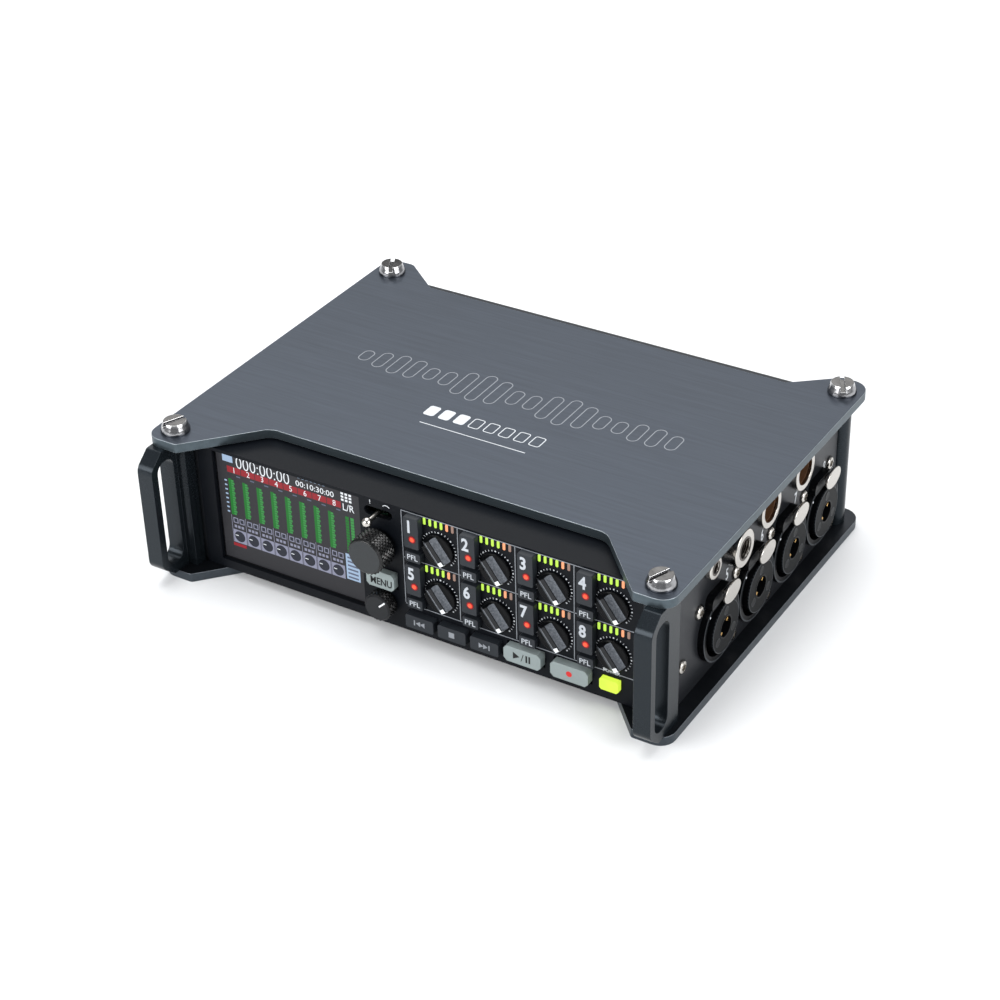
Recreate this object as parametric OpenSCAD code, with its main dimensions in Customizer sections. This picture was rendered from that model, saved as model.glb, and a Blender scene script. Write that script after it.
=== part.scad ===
// Portable eight-track field recorder.
// Origin: centre of the footprint at the underside of the bottom plate.
// +Z up, the controls face -Y, +X is the operator's right.  Millimetres.

/* [Case] */
// Width over the two plates
case_w = 178.2; // [176:0.2:181]
// Height of the plate stack without the bolt heads
case_h = 50; // [49.5:0.5:52]
// Distance of the plates' front edge in front of the origin
plate_front = 63; // [62.8:0.1:63.4]
// Distance of the plates' rear edge behind the origin
plate_rear = 70.15; // [70:0.05:71]
// Thickness of the top and bottom plates
plate_t = 3; // [2.8:0.1:3.2]
// Thickness of the side and rear panels
wall_t = 2; // [1.6:0.2:2]
// Distance of the side panels' outer face from the middle
side_x = 84; // [83.6:0.2:84.2]

/* [Handles] */
// Thickness of each handle, left to right
handle_t = 5.5; // [5:0.1:5.5]
// Distance of the handles' inner face from the middle
handle_x = 81.8; // [81.6:0.1:82]
// Distance of the handles' front face in front of the origin
handle_front = 70.15; // [70:0.05:71]
// Width of the slot through each handle
grip_gap = 7.4; // [6.6:0.2:7.4]

/* [Front panel] */
// Distance of the front panel's face in front of the origin
panel_front = 54.4; // [54.2:0.1:54.6]
// Thickness of the front panel's face
panel_t = 2; // [1.8:0.1:2]
// Width of one channel strip
strip_w = 19.1; // [19:0.05:19.2]
// Height of one row of channel strips
strip_h = 16.55; // [16.5:0.05:16.7]
// How far the channel and transport keys stand out
key_proud = 2.4; // [2:0.1:2.6]
// How far a key travels when it is pressed
key_travel = 0.6; // [0.4:0.1:0.8]

/* [Sockets] */
// Spacing of the combination jacks
jack_pitch = 23; // [23:0.1:23.2]
// Height of the jacks' axis above the ground
jack_z = 17.6; // [17.4:0.1:17.8]
// Radius of each jack's round flange
flange_r = 11.4; // [11.2:0.05:11.45]
// Radius of the quarter-inch plug bore
plug_r = 3.25; // [3.2:0.05:3.3]

/* [Battery] */
// Diameter of one AA cell
cell_d = 14.5; // [14:0.1:14.5]
// Length of one AA cell
cell_len = 50.5; // [50:0.1:50.5]

/* [Hidden] */
$fn = 48;
fit = 0.1;              // clearance of a fixed or pressed piece
run = 0.06;             // radial clearance of a shaft in its bore
half_w = case_w / 2;
inner_top = case_h - plate_t;
panel_y = -panel_front;
panel_back = panel_y + panel_t;
panel_half = 76.6;      // half the front panel's width
panel_low = 3.2;
panel_high = 46.5;
shelf_back = -38;       // rear edge of the front panel's top and bottom walls

// channel grid on the front panel
grid_x = -2.8;
grid_z = 46.1;
track_size = [5, 10.4];
track_at = [4.6, -5.7];
pfl_size = [5.2, 3.3];
pfl_at = [4.6, -14.25];
trim_at = [12.6, -10];
lamp_at = [7.9, -1.7];
lamp_pitch = 1.9;
lamp_size = [0.85, 2.4];
lamps = 6;
channels = 8;

// transport keys: [centre x, centre z, width, height, corner cut]
transport = [[3.2, 8.7, 9.6, 4.5, 0.4], [14.4, 8.7, 9.6, 4.5, 0.4], [25.6, 8.7, 9.6, 4.5, 0.4],
             [38.4, 9.3, 12.4, 5.4, 1.1], [54, 9.3, 12.4, 5.4, 1.1], [66.4, 9.2, 6.1, 4, 0.6]];
menu_at = [-10.3, 19.8];
menu_size = [9.8, 5.8];
menu_proud = 2;
dial_at = [-10.8, 31.4];
dial_r = 6.25;
dial_tip = -62.7;
volume_at = [-10.2, 11.2];
volume_r = 4.7;
volume_tip = -59.2;
slate_at = [-10.9, 42.1];
slate_pivot_y = -51;
window_lo = [-71.1, 6.2];
window_hi = [-17.6, 45.4];
knob_r = 5.15;
knob_tip = -57.15;
knob_turn = 54;         // how far below level the pointer looks
fin_size = [8.4, 1.9];  // length and width of the fin across a pointer knob
shaft_r = 1.5;
dial_shaft_r = 2;
shaft_end = -50;
board_y = panel_back + 2.3 + key_travel;   // front face of the control board
board_t = 1.6;

// bolts and posts
bolt_x = 82.6;
bolt_front_y = -56.1;
bolt_rear_y = 62;
bolt_head_r = 4.5;
bolt_head_h = 3.5;
bolt_slot = [1.3, 1.5];     // width and depth
bolt_r = 1.7;
bolt_len = 8;
low_bolt_r = 4;         // heads sunk into the bottom plate
low_bolt_seat = 1.6;
lug_h = 6;             // depth of the threaded holes that the bolts screw into
post_r = 3.5;

// side sockets, [y, z] on the side panel
jack_y = [for (i = [0:3]) -24.5 + jack_pitch * i];
jack_screw = [10.9, 10.6];
panel_screws = [[-45.6, 15.7], [52, 30.2]];
screw_bore_r = 1.1;
screw_r = 1;
side_screw_r = 2.1;
rear_screw_r = 1.9;
screw_head_h = 0.9;
jack_proud = 1.9;
jack_depth = 20;
barrel_r = 10.6;
insert_r = 8.2;
insert_out = 87.3;
shell_gap = 1.4;
contact_at = 5.6;       // contact sockets round the bore
contact_r = 1.2;
latch_at = [1.2, 12];
latch_travel = 1.4;
hood_lo = [-7.2, 9];
hood_hi = [4.6, 13.4];
hood_out = 86.4;
latch_t = 0.9;
latch_size = [5, 0.64];   // half its width, and its height as a share of its width
latch_out = hood_out + latch_travel + latch_t;
main_out_y = [7, 30.3];
main_out_z = 39.8;
main_out_r = 6.4;
main_bore_r = 4.6;
phones_at = [-15.5, 39.5];
phones_r = 5.9;
phones_bore_r = 3.2;
sub_at = [-29.2, 40.2];
sub_r = 3.6;
sub_bore_r = 1.8;

// rear panel and battery bay
rear_y = 57.6;
rear_half = 78.8;
lip_y = [58.8, 60.8];   // the rear panel's raised middle fills the plates' rear cut-outs
lip_half = [65.1, 67.5];
lip_z = 0.4;            // gap between its top and the top plate's face
rear_face = lip_y[1];
bay = [-32.4, 32.4];    // outer faces of the battery bay's sleeve in X
bay_z = [6.4, 43.6];
bay_front = 2.5;
bay_wall = 1;
sled_lo = [-31, 4, 8];
sled_hi = [31, 58, 42];
cell_z = [16.8, 33.2];
cell_pitch = 15.1;
cover_t = 2.2;
power_r = 6;
rear_screws = [for (x = [-74, -50, 50, 74]) for (z = [8, 42])
    [x, z, abs(x) < lip_half[0] ? rear_face : rear_y + wall_t]];
bnc_x = [-40, -55.5];
bnc_z = 28;
bnc_r = 4.8;
power_in_at = [54, 28];
usb_at = [39, 28];

// card door on the left side
card_half = 20;
card_z = [35.2, 46.2];
card_pin = [-85.3, 35.2];
card_pin_r = 0.8;
card_ear = 21.3;        // where the two ears that hold its pins stand

// ---------- outlines ----------

// the arc that rounds corner b, given as [x, y, radius], between its neighbours a and c
function corner(a, b, c, n) =
    let (u = [a[0] - b[0], a[1] - b[1]], v = [c[0] - b[0], c[1] - b[1]],
         p = u / norm(u), q = v / norm(v), half = acos(p * q) / 2)
    b[2] <= 0 ? [[b[0], b[1]]] :
    let (mid = [b[0], b[1]] + (p + q) / norm(p + q) * b[2] / sin(half),
         s = [b[0], b[1]] + p * b[2] / tan(half) - mid,
         e = [b[0], b[1]] + q * b[2] / tan(half) - mid,
         turn = atan2(s[0] * e[1] - s[1] * e[0], s * e))
    [for (i = [0:n]) let (t = turn * i / n)
        mid + [s[0] * cos(t) - s[1] * sin(t), s[0] * sin(t) + s[1] * cos(t)]];

// a closed outline with each corner rounded by its own radius
function rounded(path, n = 6) = let (m = len(path))
    [for (i = [0:m - 1]) each corner(path[(i + m - 1) % m], path[i], path[(i + 1) % m], n)];

function mirrored(path) = [for (i = [len(path) - 1:-1:0]) [-path[i][0], path[i][1], path[i][2]]];

function plate_outline() = let (
    right = [[57.8, -41.5, 6], [77.5, -plate_front, 1.5], [half_w, -plate_front, 5],
             [half_w, plate_rear, 6], [79.3, plate_rear, 3], [65.2, lip_y[0], 1.5]])
    rounded(concat(right, mirrored(right)));

// ---------- placing ----------

// extrudes a Y-Z outline from x0 to x1
module across(x0, x1) {
    translate([min(x0, x1), 0, 0]) rotate([90, 0, 90]) linear_extrude(abs(x1 - x0)) children();
}

// extrudes an X-Z outline from y0 back to y1
module inward(y0, y1) {
    translate([0, y1, 0]) rotate([90, 0, 0]) linear_extrude(y1 - y0) children();
}

// a round bar along Y at [x, z], from y0 back to y1
module bar_y(at, r, y0, y1) {
    translate([at[0], y1, at[1]]) rotate([90, 0, 0]) cylinder(r = r, h = y1 - y0);
}

// a round bar along X at [y, z], from x0 to x1
module bar_x(at, r, x0, x1) {
    translate([min(x0, x1), at[0], at[1]]) rotate([0, 90, 0]) cylinder(r = r, h = abs(x1 - x0));
}

module block(lo, hi) {
    translate(lo) cube(hi - lo);
}

module rect(at, size) {
    translate([at[0], at[1]]) square(size, center = true);
}

module both_sides() {
    children();
    mirror([1, 0, 0]) children();
}

// the corner of channel i's strip, as [x, z]
function strip(i) = [grid_x + strip_w * (i % 4), grid_z - strip_h * floor(i / 4)];

// ---------- case ----------

module plate(z) {
    translate([0, 0, z]) linear_extrude(plate_t) polygon(plate_outline());
}

module bolt_places() {
    for (sx = [-1, 1]) for (y = [bolt_front_y, bolt_rear_y]) translate([sx * bolt_x, y, 0]) children();
}

module top_plate() {
    color("slategray") difference() {
        plate(inner_top);
        bolt_places() translate([0, 0, inner_top - 1]) cylinder(r = bolt_r + fit, h = plate_t + 2);
    }
}

module bottom_plate() {
    color("slategray") difference() {
        plate(0);
        bolt_places() {
            translate([0, 0, -1]) cylinder(r = bolt_r + fit, h = plate_t + 2);
            translate([0, 0, -1]) cylinder(r = low_bolt_r + fit, h = low_bolt_seat + 1);
        }
    }
}

// the handle on the right; the slot takes fingers or a strap
module handle() {
    f = -handle_front;
    slot_y = f + 2.8;
    column = [78.4, bolt_front_y - bolt_r - 0.5, -53.4];   // inner, front and rear face of the bolts' column
    difference() {
        union() {
            across(handle_x, handle_x + handle_t) polygon(rounded([
                [f, 7.4, 4], [f, case_h - 7.4, 4], [f + 5.3, inner_top, 1],
                [column[2], inner_top, 0], [column[2], plate_t, 0], [f + 5.3, plate_t, 1]]));
            block([column[0], column[1], plate_t], [handle_x + 1, column[2], inner_top]);
        }
        across(handle_x - 1, handle_x + handle_t + 1) polygon(rounded([
            [slot_y, 6.8, 3.1], [slot_y, case_h - 6.8, 3.1],
            [slot_y + grip_gap, case_h - 6.8, 3.1], [slot_y + grip_gap, 6.8, 3.1]]));
        for (z = [plate_t - 1, inner_top - lug_h + 0.5])
            translate([bolt_x, bolt_front_y, z]) cylinder(r = bolt_r + fit, h = lug_h + 0.5);
    }
}

module left_handle() {
    color([0.2, 0.21, 0.23]) mirror([1, 0, 0]) handle();
}

module right_handle() {
    color([0.2, 0.21, 0.23]) handle();
}

module rear_posts() {
    color([0.25, 0.26, 0.28]) for (sx = [-1, 1]) translate([sx * bolt_x, bolt_rear_y, 0]) difference() {
        translate([0, 0, plate_t]) cylinder(r = post_r, h = inner_top - plate_t);
        translate([0, 0, 43.6]) difference() {
            cylinder(r = post_r + 1, h = 0.4);
            translate([0, 0, -1]) cylinder(r = post_r - 0.3, h = 3);
        }
        for (z = [plate_t - 1, inner_top - lug_h + 0.5])
            translate([0, 0, z]) cylinder(r = bolt_r + fit, h = lug_h + 0.5);
    }
}

// holes through a side panel that both sides have
module side_holes() {
    for (y = jack_y) {
        bar_x([y, jack_z], barrel_r + fit, side_x - 3, side_x + 1);
        for (s = [-1, 1])
            bar_x([y + s * jack_screw[0], jack_z - s * jack_screw[1]], screw_bore_r, side_x - 3, side_x + 1);
        block([side_x - 3, y + latch_at[0] - 1.8, jack_z + latch_at[1] - 1.1],
              [side_x + 1, y + latch_at[0] + 1.8, jack_z + latch_at[1] + 1.1]);
    }
    for (p = panel_screws) bar_x(p, screw_bore_r, side_x - 3, side_x + 1);
}

module side_panel() {
    difference() {
        union() {
            block([side_x - wall_t, -53.3, plate_t], [side_x, 57.5, inner_top]);
            block([79, 55.5, plate_t], [side_x, 57.5, inner_top]);
            block([panel_half + 0.3, -53.3, plate_t], [side_x, -51.3, inner_top]);
        }
        side_holes();
    }
}

module right_side_panel() {
    color([0.17, 0.18, 0.19]) difference() {
        side_panel();
        for (y = main_out_y) bar_x([y, main_out_z], main_bore_r + 1.2 + fit, side_x - 3, side_x + 1);
        bar_x(phones_at, phones_bore_r + 1.2 + fit, side_x - 3, side_x + 1);
        bar_x(sub_at, sub_bore_r + 1 + fit, side_x - 3, side_x + 1);
    }
}

module left_side_panel() {
    color([0.17, 0.18, 0.19]) difference() {
        union() {
            mirror([1, 0, 0]) side_panel();
            for (y = [-card_ear, card_ear]) difference() {
                block([-86.4, y - 0.8, card_pin[1] - 1.1], [-83.5, y + 0.8, card_pin[1] + 1.1]);
                translate([card_pin[0], y - 2, card_pin[1]]) rotate([-90, 0, 0])
                    cylinder(r = card_pin_r + run, h = 4);
            }
        }
        block([-side_x - 1, -18, 36.6], [-side_x + 3, 18, 45.4]);
    }
}

// ---------- rear ----------

module rear_panel() {
    color([0.17, 0.18, 0.19]) difference() {
        union() {
            block([-rear_half, rear_y, plate_t], [rear_half, rear_y + wall_t, inner_top]);
            translate([0, 0, lip_z]) linear_extrude(case_h - 2 * lip_z) polygon([
                [-lip_half[0], lip_y[0] + fit], [lip_half[0], lip_y[0] + fit],
                [lip_half[1], lip_y[1]], [-lip_half[1], lip_y[1]]]);
            block([bay[0], bay_front, bay_z[0]], [bay[1], rear_y + 0.5, bay_z[1]]);
        }
        block([bay[0] + bay_wall, bay_front - 1, bay_z[0] + bay_wall],
              [bay[1] - bay_wall, rear_face + 1, bay_z[1] - bay_wall]);
        for (x = bnc_x) bar_y([x, bnc_z], bnc_r + fit, rear_y - 1, rear_face + 1);
        bar_y(power_in_at, power_r + fit, rear_y - 1, rear_face + 1);
        block([usb_at[0] - 5.2, rear_y - 1, usb_at[1] - 2.2],
              [usb_at[0] + 5.2, rear_face + 1, usb_at[1] + 2.2]);
        for (p = rear_screws) bar_y([p[0], p[1]], screw_bore_r, rear_y - 1, rear_face + 1);
    }
}

module bnc(x) {
    difference() {
        union() {
            bar_y([x, bnc_z], bnc_r, rear_y - 4, rear_face + 8.8);
            bar_y([x, bnc_z], 6.6, rear_face, rear_face + 1.6);
            for (s = [-1, 1]) bar_x([rear_face + 6.4, bnc_z], 0.9, x, x + s * 5.8);
        }
        bar_y([x, bnc_z], 3.6, rear_y + 2, rear_face + 9);
    }
    bar_y([x, bnc_z], 1.1, rear_y + 1.5, rear_face + 6.8);
}

module power_in() {
    difference() {
        union() {
            bar_y(power_in_at, power_r, rear_y - 6, rear_face + 4.3);
            bar_y(power_in_at, power_r + 1.4, rear_face, rear_face + 1.2);
        }
        bar_y(power_in_at, 4.9, rear_y + 1, rear_face + 5);
    }
    for (sx = [-1, 1]) for (sz = [-1, 1])
        bar_y(power_in_at + [sx * 1.7, sz * 1.7], 0.5, rear_y + 0.5, rear_y + 3);
}

module usb_port() {
    difference() {
        block([usb_at[0] - 5, rear_y - 5, usb_at[1] - 2], [usb_at[0] + 5, rear_face + 0.2, usb_at[1] + 2]);
        block([usb_at[0] - 4.2, rear_y - 3.5, usb_at[1] - 1.3],
              [usb_at[0] + 4.2, rear_face + 1, usb_at[1] + 1.3]);
    }
}

module rear_sockets() {
    color("silver") {
        for (x = bnc_x) bnc(x);
        power_in();
        usb_port();
    }
}

module battery_cover() {
    color([0.19, 0.2, 0.21]) difference() {
        inward(sled_hi[1] + 0.7, sled_hi[1] + 0.7 + cover_t) polygon(rounded([
            [sled_lo[0] - 0.2, 7.6, 1.5], [sled_hi[0] + 0.2, 7.6, 1.5],
            [sled_hi[0] + 0.2, 42.4, 1.5], [sled_lo[0] - 0.2, 42.4, 1.5]]));
        block([-11, sled_hi[1] + 1.7, 19], [11, sled_hi[1] + 5, 31]);
    }
}

function cell_places() = [for (i = [-1.5:1.5]) for (z = cell_z) [i * cell_pitch, z]];

module battery_sled() {
    color([0.1, 0.1, 0.11]) difference() {
        union() {
            block(sled_lo, sled_hi);
            block([-6, sled_hi[1] - 0.5, 15], [6, sled_hi[1] + 0.7, 35]);
        }
        for (p = cell_places())
            bar_y(p, cell_d / 2 + 0.15, sled_lo[1] + 1.4, sled_lo[1] + 2.4 + cell_len);
        for (i = [-1.5:1.5]) for (z = [sled_lo[2] - 1, sled_hi[2] - 4])
            translate([i * cell_pitch - 5.6, sled_lo[1] + 1.4, z]) cube([11.2, cell_len + 1, 5]);
    }
}

module battery_cells() {
    y = sled_lo[1] + 1.7;
    color("goldenrod") for (p = cell_places()) {
        bar_y(p, cell_d / 2, y, y + cell_len - 1);
        bar_y(p, 2.6, y + cell_len - 2, y + cell_len);
    }
}

// ---------- front panel ----------

module key_hole(at, size) {
    rect(at, size + [0.3, 0.3]);
}

module front_panel() {
    color([0.2, 0.21, 0.23]) difference() {
        union() {
            block([-panel_half, panel_y, panel_low], [panel_half, panel_back, panel_high]);
            block([-panel_half, panel_y, panel_high - 1], [panel_half, shelf_back, panel_high]);
            block([-panel_half, panel_y, panel_low], [panel_half, shelf_back, panel_low + 1.4]);
            both_sides() block([panel_half - 1.6, panel_y, panel_low], [panel_half, shelf_back, panel_high]);
        }
        block([window_lo[0], panel_y - 1, window_lo[1]], [window_hi[0], panel_back + 1, window_hi[1]]);
        inward(panel_y - 1, panel_back + 1) {
            for (i = [0:channels - 1]) {
                key_hole(strip(i) + track_at, track_size);
                key_hole(strip(i) + pfl_at, pfl_size);
                for (k = [0:lamps - 1])
                    rect(strip(i) + lamp_at + [lamp_pitch * k, 0], lamp_size + [0.1, 0.1]);
            }
            for (k = transport) key_hole([k[0], k[1]], [k[2], k[3]]);
            key_hole(menu_at, menu_size);
            rect(slate_at, [6.8, 3]);
        }
        for (i = [0:channels - 1])
            bar_y(strip(i) + trim_at, shaft_r + run, panel_y - 1, panel_back + 1);
        bar_y(dial_at, dial_shaft_r + run, panel_y - 1, panel_back + 1);
        bar_y(volume_at, shaft_r + run, panel_y - 1, panel_back + 1);
        for (s = [-1, 1]) bar_y(slate_at + [s * 3.4, 0], 1.5, panel_y - 1, panel_back + 1);
    }
}

module screen_window() {
    color([0.05, 0.05, 0.06]) block([window_lo[0] + 0.1, panel_y + 1.2, window_lo[1] + 0.1],
        [window_hi[0] - 0.1, panel_back, window_hi[1] - 0.1]);
}

module display_module() {
    color([0.6, 0.6, 0.62]) block([window_lo[0] + 1, panel_back, window_lo[1] + 1],
        [window_hi[0] - 1, panel_back + 4.8, window_hi[1] - 1.5]);
}

module level_lamps() {
    color("greenyellow") inward(panel_y - 0.1, panel_back - 0.1)
        for (i = [0:channels - 1]) for (k = [0:lamps - 1])
            rect(strip(i) + lamp_at + [lamp_pitch * k, 0], lamp_size);
}

// a key with its corners cut, standing out of the panel, held by a flange behind it
module key(at, size, proud, cut) {
    a = size / 2;
    inward(panel_y - proud, panel_back + 0.1) translate(at) polygon([
        [-a[0] + cut, -a[1]], [a[0] - cut, -a[1]], [a[0], -a[1] + cut], [a[0], a[1] - cut],
        [a[0] - cut, a[1]], [-a[0] + cut, a[1]], [-a[0], a[1] - cut], [-a[0], -a[1] + cut]]);
    inward(panel_back + 0.05, panel_back + 1) rect(at, size + [0.7, -0.4]);
}

module track_key(i) {
    color([0.3, 0.31, 0.33]) key(strip(i) + track_at, track_size, key_proud, 0.3);
}

module pfl_key(i) {
    color([0.3, 0.31, 0.33]) key(strip(i) + pfl_at, pfl_size, key_proud - 0.3, 0.3);
}

module transport_key(k, proud) {
    key([k[0], k[1]], [k[2], k[3]], proud, k[4]);
}

module rewind_key() {
    color([0.3, 0.31, 0.33]) transport_key(transport[0], key_proud);
}

module stop_key() {
    color([0.3, 0.31, 0.33]) transport_key(transport[1], key_proud);
}

module forward_key() {
    color([0.3, 0.31, 0.33]) transport_key(transport[2], key_proud);
}

module play_key() {
    color([0.75, 0.8, 0.8]) transport_key(transport[3], key_proud);
}

module record_key() {
    color([0.75, 0.8, 0.8]) transport_key(transport[4], key_proud);
}

module power_key() {
    color([0.75, 0.9, 0.2]) transport_key(transport[5], key_proud - 0.9);
}

module menu_key() {
    color([0.75, 0.8, 0.8]) key(menu_at, menu_size, menu_proud, 1);
}

// a pointer knob: a round skirt, a fin across it and its shaft
module trim_knob(i) {
    at = strip(i) + trim_at;
    color([0.22, 0.23, 0.25]) {
        bar_y(at, knob_r, panel_y - 1.1, panel_y - 0.3);
        intersection() {
            bar_y(at, fin_size[0] / 2, knob_tip, panel_y - 0.3);
            translate([at[0], 0, at[1]]) rotate([0, knob_turn, 0])
                block([-knob_r, knob_tip, -fin_size[1] / 2], [knob_r, panel_y - 0.3, fin_size[1] / 2]);
        }
        bar_y(at, shaft_r, panel_y - 0.4, shaft_end);
    }
}

module dial_shaft() {
    color("silver") {
        bar_y(dial_at, dial_shaft_r, dial_tip + 1.8, shaft_end - 0.5);
        bar_y(dial_at, 2.6, panel_back + 0.05, panel_back + 0.45);
    }
}

module select_dial() {
    color([0.16, 0.17, 0.18]) difference() {
        union() {
            bar_y(dial_at, dial_r - 0.5, dial_tip, panel_y - 1);
            bar_y(dial_at, dial_r, dial_tip + 0.6, panel_y - 1);
        }
        bar_y(dial_at, dial_shaft_r + run, dial_tip + 1.6, panel_y);
    }
}

module volume_knob() {
    color([0.16, 0.17, 0.18]) {
        bar_y(volume_at, volume_r - 0.4, volume_tip, panel_y - 0.3);
        bar_y(volume_at, volume_r, volume_tip + 0.5, panel_y - 0.3);
        bar_y(volume_at, shaft_r, panel_y - 0.4, shaft_end);
    }
}

module slate_switch() {
    color("silver") {
        difference() {
            union() {
                translate([slate_at[0], slate_pivot_y, slate_at[1] - 1.2]) cylinder(r = 1.3, h = 2.4);
                bar_y(slate_at, 0.8, -59.6, slate_pivot_y);
            }
            translate([slate_at[0], slate_pivot_y, slate_at[1] - 3]) cylinder(r = 0.6 + run, h = 6);
        }
        translate([slate_at[0], -60.2, slate_at[1]]) sphere(r = 1.5);
    }
}

// ---------- side sockets ----------

// a combination jack on the right side: round flange, latch hood, insert and body
module combo_jack(y) {
    face = side_x + jack_proud;
    difference() {
        union() {
            bar_x([y, jack_z], flange_r, side_x, face);
            bar_x([y, jack_z], insert_r, face - 1, insert_out);
            bar_x([y, jack_z], barrel_r, side_x - wall_t - 1, side_x + 1);
            block([side_x - wall_t - jack_depth, y - 10.8, jack_z - 12.8],
                  [side_x - wall_t, y + 10.8, jack_z + 12.8]);
            across(side_x, hood_out) translate([y, jack_z]) polygon(rounded([
                [hood_lo[0], hood_lo[1], 0.6], [hood_hi[0], hood_lo[1], 0.6],
                [hood_hi[0], hood_hi[1], 2], [hood_lo[0], hood_hi[1], 2.6]]));
        }
        bar_x([y, jack_z], plug_r, insert_out - 20.5, insert_out + 1);
        difference() {
            bar_x([y, jack_z], insert_r + shell_gap, face - 9, hood_out + 1);
            bar_x([y, jack_z], insert_r, face - 10, insert_out + 2);
        }
        for (a = [90, 210, 330])
            bar_x([y + contact_at * cos(a), jack_z + contact_at * sin(a)], contact_r, face - 8, insert_out + 1);
        block([side_x - 1, y + latch_at[0] - 1.7, jack_z + latch_at[1] - 0.75],
              [hood_out + 1, y + latch_at[0] + 1.7, jack_z + latch_at[1] + 0.75]);
        for (s = [-1, 1])
            bar_x([y + s * jack_screw[0], jack_z - s * jack_screw[1]], screw_bore_r, side_x - 9, side_x + 1);
    }
}

module combo_jacks() {
    color([0.09, 0.09, 0.1]) both_sides() for (y = jack_y) combo_jack(y);
}

// the four push tabs of one side
module latches() {
    for (y = jack_y) translate([0, y + latch_at[0], jack_z + latch_at[1]]) {
        block([side_x - 0.4, -1.5, -0.55], [latch_out - latch_t / 2, 1.5, 0.55]);
        across(latch_out - latch_t, latch_out) scale([1, latch_size[1]]) circle(r = latch_size[0]);
    }
}

module left_latches() {
    color("silver") mirror([1, 0, 0]) latches();
}

module right_latches() {
    color("silver") latches();
}

// a round socket on the right side with a collar outside and a blind bore
module round_socket(at, collar_r, bore_r, wall, proud, depth) {
    difference() {
        union() {
            bar_x(at, collar_r, side_x, side_x + proud);
            bar_x(at, bore_r + wall, side_x - depth - 2, side_x + 1);
        }
        bar_x(at, bore_r, side_x - depth, side_x + proud + 1);
    }
}

module main_out_sockets() {
    color("silver") for (y = main_out_y) {
        round_socket([y, main_out_z], main_out_r, main_bore_r, 1.2, 1.8, 11);
        for (a = [90, 210, 330])
            bar_x([y + 1.9 * cos(a), main_out_z + 1.9 * sin(a)], 0.45, side_x - 12, side_x - 5);
    }
}

module phone_jacks() {
    color("silver") {
        round_socket(phones_at, phones_r, phones_bore_r, 1.2, 4.3, 24);
        round_socket(sub_at, sub_r, sub_bore_r, 1, 2, 14);
    }
}

// ---------- fasteners ----------

module slotted_bolt() {
    difference() {
        union() {
            cylinder(r = bolt_head_r, h = 0.8);
            translate([0, 0, 0.8]) cylinder(r1 = bolt_head_r, r2 = bolt_head_r - 1, h = bolt_head_h - 0.8);
            translate([0, 0, -bolt_len]) cylinder(r = bolt_r, h = bolt_len + 0.5);
        }
        translate([-8, -bolt_slot[0] / 2, bolt_head_h - bolt_slot[1]]) cube([16, bolt_slot[0], 3]);
    }
}

module plate_bolts() {
    color([0.45, 0.43, 0.42]) for (sx = [-1, 1]) for (y = [bolt_front_y, bolt_rear_y])
        translate([sx * bolt_x, y, case_h]) rotate([0, 0, y < 0 ? 67 : 117]) slotted_bolt();
}

module side_screws() {
    for (y = jack_y) for (s = [-1, 1]) side_screw([y + s * jack_screw[0], jack_z - s * jack_screw[1]]);
    for (p = panel_screws) side_screw(p);
}

module side_screw(at) {
    bar_x(at, side_screw_r, side_x, side_x + screw_head_h);
    bar_x(at, screw_r, side_x - 1.9, side_x + 0.5);
}

module case_screws() {
    color("silver") {
        both_sides() side_screws();
        for (p = rear_screws) {
            bar_y([p[0], p[1]], rear_screw_r, p[2], p[2] + screw_head_h);
            bar_y([p[0], p[1]], screw_r, rear_y + 0.2, p[2] + 0.5);
        }
        bolt_places() {
            translate([0, 0, 0.2]) cylinder(r = low_bolt_r, h = low_bolt_seat - 0.2);
            translate([0, 0, 0.5]) cylinder(r = bolt_r, h = 7.5);
        }
    }
}

// ---------- inside ----------

// the carrier of a control's shaft on the control board
module bearing(at, bore_r) {
    difference() {
        bar_y(at, 3.2, panel_back + 1.3, board_y + 0.2);
        bar_y(at, bore_r + run, panel_back + 1, board_y + 1);
    }
}

module circuit_boards() {
    color("darkgreen") {
        block([-16, board_y, 7], [74, board_y + board_t, 44.5]);
        for (i = [0:channels - 1]) bearing(strip(i) + trim_at, shaft_r);
        bearing(dial_at, dial_shaft_r);
        bearing(volume_at, shaft_r);
        // the slate switch's frame with its pivot pin
        for (s = [-1, 1]) block(
            [slate_at[0] - 1.5, panel_back + 0.6, slate_at[1] + s * 1.75 - 0.45],
            [slate_at[0] + 1.5, board_y + 0.2, slate_at[1] + s * 1.75 + 0.45]);
        translate([slate_at[0], slate_pivot_y, slate_at[1] - 2]) cylinder(r = 0.6, h = 4);
        // main board on four stand-offs, with its larger chips
        block([-58, -36, 20], [58, -2, 21.6]);
        for (x = [-54, 54]) for (y = [-32, -6]) translate([x, y, plate_t]) cylinder(r = 2.5, h = 17.2);
        for (x = [-34, 0, 34]) block([x - 8, -28, 21.4], [x + 8, -12, 23.2]);
        // preamplifier boards behind the jacks
        both_sides() block([60.2, -37, 5], [61.9, 48, 31]);
        // card reader behind the card door
        difference() {
            block([-79.5, -17, 36.2], [-58, 17, 45.8]);
            for (z = [38.2, 42.2]) block([-80, -12.2, z], [-60, 12.2, z + 2.3]);
        }
    }
}

// ---------- card door ----------

module card_cover() {
    color([0.19, 0.2, 0.21]) {
        block([-85.6, -card_half, card_z[0]], [-84.2, card_half, card_z[1]]);
        translate([card_pin[0], -card_half, card_pin[1]]) rotate([-90, 0, 0]) cylinder(r = 1, h = 2 * card_half);
        translate([card_pin[0], -card_half - 2, card_pin[1]]) rotate([-90, 0, 0])
            cylinder(r = card_pin_r, h = 2 * card_half + 4);
        block([-86.4, -6, card_z[1] - 1.6], [-85.4, 6, card_z[1]]);
    }
}

// ---------- drawing ----------

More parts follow.
